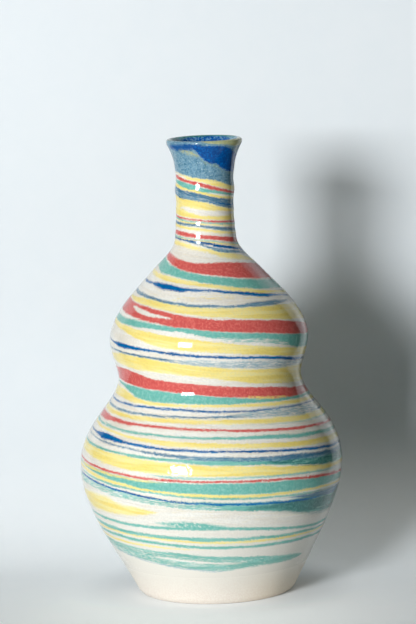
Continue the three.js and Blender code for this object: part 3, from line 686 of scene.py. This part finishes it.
# the streaks in the order in which they lie over each other
layers = [
    # streak, its edges, clay, feather, ragged, dry, uneven, what rubs it
    (YELLOW_WIDE, down_helix, YELLOW_CLAY, 1.0, 2.2, 0.0, 0.5, scratched),
    (BELLY_YELLOW, round_side, YELLOW_CLAY, 2.2, 3.0, 0.0, 0.3, scratched),
    (YELLOW, down_helix, YELLOW_CLAY, 0.6, 1.0, 0.0, 0.5, scratched),
    (NECK_WHITE, round_side, CREAM, 1.0, 2.0, 0.0, 0.3, scratched),
    (TEAL_LINE, down_helix, TEAL_CLAY, 0.6, 1.8, 0.30, 0.7, scratched),
    (FOOT_BAND, round_side, TEAL_CLAY, 0.7, 2.4, 0.36, 0.9, scratched),
    (FOOT_PALE, round_side, CREAM, 0.7, 1.2, 0.0, 0.3, scratched),
    (FOOT_PATCH, round_side, TEAL_CLAY, 1.6, 2.4, 0.40, 0.6, mottled),
    (FOOT_GAPS, round_side, CREAM, 0.9, 1.6, 0.54, 0.3, scratched),
    (FOOT_LINE, round_side, PALE_SLATE, 0.5, 1.0, 0.46, 0.6, scratched),
    (BELLY_GAPS, round_side, CREAM, 0.7, 1.2, 0.50, 0.3, scratched),
    (BELLY_FINE, round_side, TEAL_CLAY, 0.4, 0.8, 0.36, 0.6, scratched),
    (BELLY_THREAD, round_side, PALE_TEAL, 0.4, 0.8, 0.36, 0.6, scratched),
    (SHOULDER_STRAW, round_side, YELLOW_CLAY, 1.4, 1.8, 0.55, 0.2, scratched),
    # painted shade: dark teal on the shaded right of the belly
    (BELLY_PAINTED_SHADE, round_side, DARK_TEAL, 1.6, 3.0, 0.42, 0.9, scratched),
    (BELLY_SMEAR, round_side, DARK_TEAL, 4.2, 2.6, 0.38, 0.7, clouded),
    (SLATE, down_helix, SLATE_CLAY, 0.6, 1.4, 0.36, 0.9, scratched),
    (BULB_GAPS, round_side, PALE_SLATE, 1.2, 1.8, 0.42, 0.6, grain),
    (BULB_GAPS, round_side, CREAM, 1.2, 1.8, 0.50, 0.3, scratched),
    (WAIST_GAPS, round_side, PALE_SLATE, 1.2, 1.8, 0.36, 0.8, grain),
    (WAIST_GAPS, round_side, CREAM, 1.2, 1.8, 0.50, 0.3, scratched),
    (COLLAR, round_side, COLLAR_CLAY, 1.0, 2.4, 0.0, 1.0, mottled),
    (NECK_PALE, round_side, CREAM, 1.2, 2.0, 0.44, 0.3, scratched),
    (COLLAR, round_side, COLLAR_LIGHT, 1.0, 2.4, 0.56, 0.4, grain),
    (COLLAR, round_side, DARK_TEAL, 1.0, 2.4, 0.62, 0.6, mottled),
    (COLLAR_SMEAR, round_side, SMEAR_CLAY, 2.0, 2.6, 0.32, 0.8, scratched),
    (TEAL, down_helix, TEAL_CLAY, 0.5, 1.2, 0.22, 0.9, mottled),
    (RED, down_helix, RED_CLAY, 0.45, 0.8, 0.0, 1.0, mottled),
    (BELLY_STRAW, round_side, YELLOW_CLAY, 0.6, 1.0, 0.40, 0.4, scratched),
    (WAIST_YELLOW, round_side, YELLOW_CLAY, 0.6, 1.2, 0.46, 0.6, mottled),
    (SHOULDER_WHITE, round_side, CREAM, 0.6, 1.0, 0.0, 0.4, scratched),
    (BULB_WISPS, round_side, CREAM, 0.8, 1.8, 0.47, 0.3, scratched),
    (COLLAR_DASH, round_side, STRAW, 1.6, 2.4, 0.46, 0.7, mottled),
    (COLLAR_STRAW, round_side, OLIVE, 1.2, 1.8, 0.50, 0.7, mottled),
    (COLLAR_WEDGE, round_side, WEDGE_CLAY, 0.9, 2.4, 0.24, 0.9, mottled),
    (BLUE, down_helix, BLUE_CLAY, 0.5, 1.0, 0.26, 0.8, scratched),
    (SHOULDER_BLUE, round_side, BLUE_CLAY, 0.6, 1.6, 0.26, 0.8, mottled),
    (BULB_BLUE, round_side, BLUE_CLAY, 0.6, 1.4, 0.28, 0.8, mottled),
    (BELLY_BLUE, round_side, BLUE_CLAY, 0.6, 1.6, 0.28, 0.8, mottled),
    # blue blotch inside the far rim, partly painted shade inside the mouth
    (MOUTH_BLOTCH_AND_SHADE, round_side, WEDGE_CLAY, 0.8, 2.4, 0.42, 0.9, mottled),
    (RIM_YELLOW, round_side, STRAW, 0.9, 2.0, 0.34, 0.9, mottled),
    (RIM_LINE, round_side, DARK_TEAL, 0.6, 1.2, 0.30, 0.9, mottled),
]
for streak, edge_of, tones, feather, ragged, dry, uneven, rubbing in layers:
    share = helix_share if edge_of is down_helix else round_share
    laid = draw.group(
        clay_streak, ground=colour, light=tones[0], deep=tones[1],
        upper=draw.curve(share, edge_of(streak, 0)), lower=draw.curve(share, edge_of(streak, 1)),
        height=height, brushing=brushed, scratches=rubbing, grain=grain,
        clouds=clouded if rubbing is scratched else mottled,
        feather=feather, ragged=ragged, dry=dry, uneven=uneven,
    )
    colour = laid.outputs["Color"]
speckle = draw.ramp(grain, 0.4, 0.6, -0.06, 0.05)
speckle = draw.math("MULTIPLY_ADD", speckle, draw.ramp(true_height, 18.0, 60.0, 0.2, 1.0), 1.0)
grained = draw.feed(draw.node("ShaderNodeVectorMath", operation="SCALE"), colour)
draw.put(speckle, grained.inputs["Scale"])
draw.put(grained.outputs[0], out["Color"])
draw.put(grain, out["Grain"])
draw.put(true_height, out["Height"])
marbled_clay = draw.tree

# the skin of a glazed pot: shallow throwing lines, a faint ripple of the glaze that is strongest on
# the belly, and small pits
LINE_STRETCH = 0.12
BELLY_BELOW, BELLY_ABOVE = (0.05, 0.066), (0.104, 0.088)
RIPPLE, BELLY_RIPPLE, PIT_DEPTH = 0.4, 4.5, -2.0
draw, into, out = new_group("glaze_skin", [("Place", VECTOR)], [("Relief", NUMBER), ("Pits", NUMBER)])
place = into["Place"]
east, south, up = draw.feed(draw.node("ShaderNodeSeparateXYZ"), place).outputs
wound = draw.feed(
    draw.node("ShaderNodeCombineXYZ"), draw.math("MULTIPLY", east, LINE_STRETCH),
    draw.math("MULTIPLY", south, LINE_STRETCH), up,
).outputs[0]
lines = draw.noise(wound, 420.0, 2.0, 0.5)
ripple = draw.noise(place, 260.0, 2.0, 0.6)
belly = draw.math("MULTIPLY", draw.ramp(up, *BELLY_BELOW), draw.ramp(up, *BELLY_ABOVE))
rippled = draw.math("MULTIPLY_ADD", belly, BELLY_RIPPLE, RIPPLE)
pits = draw.ramp(draw.noise(place, 700.0, 1.0, 0.5), 0.66, 0.74)
relief = draw.math("MULTIPLY_ADD", ripple, rippled, lines)
draw.put(draw.math("MULTIPLY_ADD", pits, PIT_DEPTH, relief), out["Relief"])
draw.put(pits, out["Pits"])
glaze_skin = draw.tree


BARE_ROUGH, GLAZE_ROUGH, PIT_ROUGH = 0.56, 0.06, 0.2
GLAZE_IOR, GLAZE_GLOSS, RELIEF_DEPTH = 1.5, 0.4, 0.00004
THINNING, TOASTING = (16.0, -1.0), (20.0, -10.0)
# where the foot's painted warm light begins on its right side
WARM_LIGHT_SIDE = 0.005, 0.035


def glazed_clay(name, glaze_foot):
    """Marbled clay under a clear gloss glaze, which stops at a height above the foot."""
    material = bpy.data.materials.new(name)
    material.use_nodes = True
    material.node_tree.nodes.clear()
    draw = Sheet(material.node_tree)
    place = draw.node("ShaderNodeTexCoord").outputs["Object"]
    clay = draw.group(marbled_clay, place=place)
    skin = draw.group(glaze_skin, place=place)
    shader = draw.node("ShaderNodeBsdfPrincipled")
    bare, toasted = [
        draw.ramp(clay.outputs["Height"], glaze_foot + glazed, glaze_foot + dry)
        for glazed, dry in (THINNING, TOASTING)
    ]
    # the dry clay at the foot, painted lighter and warmer on its right side: painted warm light
    speckled = draw.ramp(clay.outputs["Grain"], 0.35, 0.65)
    dry_clay = draw.blend(speckled, srgb(239, 230, 218), srgb(230, 217, 204))
    painted_warm_light = draw.blend(speckled, srgb(252, 238, 217), srgb(246, 228, 206))
    right = draw.feed(draw.node("ShaderNodeSeparateXYZ"), place).outputs["X"]
    dry_clay = draw.blend(draw.ramp(right, *WARM_LIGHT_SIDE), dry_clay, painted_warm_light)
    colour = draw.blend(toasted, clay.outputs["Color"], dry_clay)
    draw.put(colour, shader.inputs["Base Color"])
    rough = draw.math("MULTIPLY_ADD", bare, BARE_ROUGH, GLAZE_ROUGH)
    rough = draw.math("MULTIPLY_ADD", skin.outputs["Pits"], PIT_ROUGH, rough)
    draw.put(rough, shader.inputs["Roughness"])
    shader.inputs["IOR"].default_value = GLAZE_IOR
    shader.inputs["Specular IOR Level"].default_value = GLAZE_GLOSS
    bump = draw.node("ShaderNodeBump")
    bump.inputs["Strength"].default_value = 1.0
    bump.inputs["Distance"].default_value = RELIEF_DEPTH
    draw.put(skin.outputs["Relief"], bump.inputs["Height"])
    draw.put(bump.outputs["Normal"], shader.inputs["Normal"])
    output = draw.node("ShaderNodeOutputMaterial")
    draw.put(shader.outputs["BSDF"], output.inputs["Surface"])
    return material


wall.data.materials.append(glazed_clay("marbled_clay_under_clear_glaze", GLAZE_EDGE))
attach(wall, "root")
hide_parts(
    "clay_body", "lip_collar", "lip_blue_streak", "red_streak", "teal_streak",
    "blue_streak", "yellow_streak", "outer_glaze",
)

# The lining: a coat of clear glaze that was poured in and out again. It holds the water, shows the
# clay under it, and runs from just inside the crown of the rim down over the floor.
LINING, LINING_EDGE, GAP = 0.25, 0.04, 0.02
CROWN_START, CROWN_STEPS = 0.66, 8
EVERYWHERE = -40.0
crown = rim_round(CROWN_START, 1, CROWN_STEPS, LINING_EDGE, LINING)[:-1]
crown_under = rim_round(CROWN_START, 1, CROWN_STEPS, GAP, GAP)[:-1]
face, corner = inner_face(LINING)
face_under, corner_under = inner_face(GAP)
lining = thrown("glaze_lining", [
    (0, FLOOR_HEIGHT + GAP), *reversed(corner_under), *face_under, *reversed(crown_under),
    *crown, *reversed(face), *corner, (0, FLOOR_HEIGHT + LINING),
])
lining.data.materials.append(glazed_clay("clear_glaze_lining", EVERYWHERE))
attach(lining, "root")
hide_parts("inner_glaze")

# The photographer's corner: a sheet of pale paper that lies under the vase and rises behind it in one sweep.
# It glows with painted light: a painted pool of light in front of the vase, painted light low down that is
# kept off round the foot, and a painted light strip beside the shadow, out of the camera's view, which the
# glaze mirrors as a painted sheen down its right side. That glow is seen by the camera and mirrored in the
# glaze, and lights nothing.
PAPER_HALF, PAPER_FRONT, PAPER_TURN, SWEEP_RADIUS, PAPER_TOP = 0.25, -0.9, 0.044, 0.113, 0.75
SWEEP_STEPS = 12
POOL_CENTRE, POOL_RADIUS, POOL_GLOW = (0.0, -0.08, 0.0), 0.15, 0.2
LOW_HEIGHT, LOW_GLOW, LOW_FRONT, FOOT_SHADE = 0.07, 0.125, (-0.14, -0.09), (0.05, 0.085)
# the painted light strip on the rising paper beside the shadow, which the glaze shows as a painted sheen
SHEEN_STRIP_FROM, SHEEN_STRIP_TO, SHEEN_STRIP_GLOW, RISING_FROM = (0.124, 0.14), (0.19, 0.15), 0.32, (0.1, 0.14)
# painted shade: the paper's colour is darker low down than higher up
LOW_PAPER_PAINTED_SHADE = srgb(225, 231, 235), srgb(230, 234, 237)
HIGH_PAPER = srgb(237, 243, 247), srgb(242, 246, 249)
PAPER_RISE, PAPER_ROUGH = (0.09, 0.3), 0.8
bm = bmesh.new()
sweep = [(PAPER_FRONT, 0.0), (PAPER_TURN, 0.0)]
for i in range(1, SWEEP_STEPS + 1):
    bend = math.pi / 2 * i / SWEEP_STEPS
    sweep.append((
        PAPER_TURN + SWEEP_RADIUS * math.sin(bend),
        SWEEP_RADIUS * (1 - math.cos(bend)),
    ))
sweep.append((PAPER_TURN + SWEEP_RADIUS, PAPER_TOP))
left_edge = [bm.verts.new((-PAPER_HALF, y, z)) for y, z in sweep]
edges = [bm.edges.new(pair) for pair in zip(left_edge, left_edge[1:])]
drawn = bmesh.ops.extrude_edge_only(bm, edges=edges)
right_edge = [v for v in drawn["geom"] if isinstance(v, bmesh.types.BMVert)]
bmesh.ops.translate(bm, verts=right_edge, vec=(2 * PAPER_HALF, 0, 0))
for face in bm.faces:
    face.smooth = True
bm.normal_update()
bm.faces.ensure_lookup_table()
if bm.faces[0].normal.z < 0:
    bmesh.ops.reverse_faces(bm, faces=bm.faces)
mesh = bpy.data.meshes.new("paper_sweep")
bm.to_mesh(mesh)
bm.free()
paper = bpy.data.objects.new("paper_sweep", mesh)
bpy.context.scene.collection.objects.link(paper)

paper_white = bpy.data.materials.new("pale_paper")
paper_white.use_nodes = True
paper_white.node_tree.nodes.clear()
draw = Sheet(paper_white.node_tree)
place = draw.node("ShaderNodeTexCoord").outputs["Object"]
across, depth, up = draw.feed(draw.node("ShaderNodeSeparateXYZ"), place).outputs
from_pool = draw.feed(
    draw.node("ShaderNodeVectorMath", operation="DISTANCE"), place, POOL_CENTRE
).outputs["Value"]
from_foot = draw.feed(draw.node("ShaderNodeVectorMath", operation="LENGTH"), place).outputs["Value"]
# painted pool of light on the floor in front of the vase
painted_light_pool = draw.ramp(from_pool, POOL_RADIUS, 0.0, 0.0, POOL_GLOW)
# painted light low on the paper, kept off round the foot so that its shadow stays dark
low_glow = draw.math(
    "MULTIPLY", draw.ramp(up, LOW_HEIGHT, 0.0, 0.0, LOW_GLOW), draw.ramp(from_foot, *FOOT_SHADE)
)
low_glow = draw.math("MULTIPLY", low_glow, draw.ramp(depth, *LOW_FRONT))
path = draw.node("ShaderNodeLightPath").outputs
seen = draw.math("ADD", path["Is Camera Ray"], path["Is Glossy Ray"])
seen = draw.math("ADD", seen, path["Is Transmission Ray"])
# painted light strip beside the shadow, seen in the glaze as a painted sheen down its right side
painted_sheen_strip = draw.math(
    "MULTIPLY", draw.ramp(across, *SHEEN_STRIP_FROM), draw.ramp(across, *SHEEN_STRIP_TO, 0.0, SHEEN_STRIP_GLOW)
)
painted_sheen_strip = draw.math("MULTIPLY", painted_sheen_strip, draw.ramp(depth, *RISING_FROM))
glow = draw.math("ADD", draw.math("ADD", painted_light_pool, low_glow), painted_sheen_strip)
glow = draw.math("MULTIPLY", glow, seen)
fibres = draw.noise(place, 60.0, 3.0, 0.6)
# painted shade: the paper darker low down, easing into the lighter paper above
painted_shade_low = draw.blend(fibres, *LOW_PAPER_PAINTED_SHADE)
high = draw.blend(fibres, *HIGH_PAPER)
shader = draw.node("ShaderNodeBsdfPrincipled")
draw.put(draw.blend(draw.ramp(up, *PAPER_RISE), painted_shade_low, high), shader.inputs["Base Color"])
shader.inputs["Roughness"].default_value = PAPER_ROUGH
shader.inputs["Emission Color"].default_value = srgb(255, 253, 246)
draw.put(glow, shader.inputs["Emission Strength"])
# seen from behind, the paper lets the eye through to the vase
through = draw.node("ShaderNodeBsdfTransparent")
behind = draw.node("ShaderNodeNewGeometry").outputs["Backfacing"]
choice = draw.feed(draw.node("ShaderNodeMixShader"), behind, shader.outputs[0], through.outputs[0])
output = draw.node("ShaderNodeOutputMaterial")
draw.put(choice.outputs[0], output.inputs["Surface"])
paper.data.materials.append(paper_white)

# The light: one large soft box at the left front, and the low light of the room.
BOX_WIDE, BOX_HIGH, BOX_POWER, BOX_COLOUR = 0.6, 0.5, 53.5, (0.965, 0.985, 1.0)
BOX_AZIMUTH, BOX_DISTANCE, BOX_HEIGHT, BOX_AIM = math.radians(-28), 2.2, 0.62, (0, 0, 0.12)
ROOM_COLOUR, ROOM_STRENGTH = srgb(224, 234, 208), 0.056
softbox = bpy.data.lights.new("softbox", "AREA")
softbox.shape = "RECTANGLE"
softbox.size, softbox.size_y = BOX_WIDE, BOX_HIGH
softbox.energy = BOX_POWER
softbox.color = BOX_COLOUR
softbox_stand = bpy.data.objects.new("softbox", softbox)
bpy.context.scene.collection.objects.link(softbox_stand)
spot = Vector((
    BOX_DISTANCE * math.sin(BOX_AZIMUTH), -BOX_DISTANCE * math.cos(BOX_AZIMUTH), BOX_HEIGHT
))
turned = (Vector(BOX_AIM) - spot).to_track_quat("-Z", "Y").to_matrix().to_4x4()
softbox_stand.matrix_world = Matrix.Translation(spot) @ turned

room = bpy.data.worlds.new("room")
bpy.context.scene.world = room
room.use_nodes = True
room.node_tree.nodes["Background"].inputs["Color"].default_value = ROOM_COLOUR
room.node_tree.nodes["Background"].inputs["Strength"].default_value = ROOM_STRENGTH

# The camera: far back and a little above, turned slightly on its axis as in the photograph.
LENS, SENSOR = 199.3, 36
EYE, LOOK_DOWN, ROLL = (0.0008, -1.873, 0.4183), 8.025, -1.912
camera = bpy.data.objects.new("camera", bpy.data.cameras.new("camera"))
bpy.context.scene.collection.objects.link(camera)
camera.data.lens = LENS
camera.data.sensor_width = SENSOR
camera.matrix_world = (
    Matrix.Translation(EYE)
    @ Matrix.Rotation(math.radians(90 - LOOK_DOWN), 4, "X")
    @ Matrix.Rotation(math.radians(ROLL), 4, "Z")
)
bpy.context.scene.camera = camera
bpy.context.scene.view_settings.view_transform = "Standard"
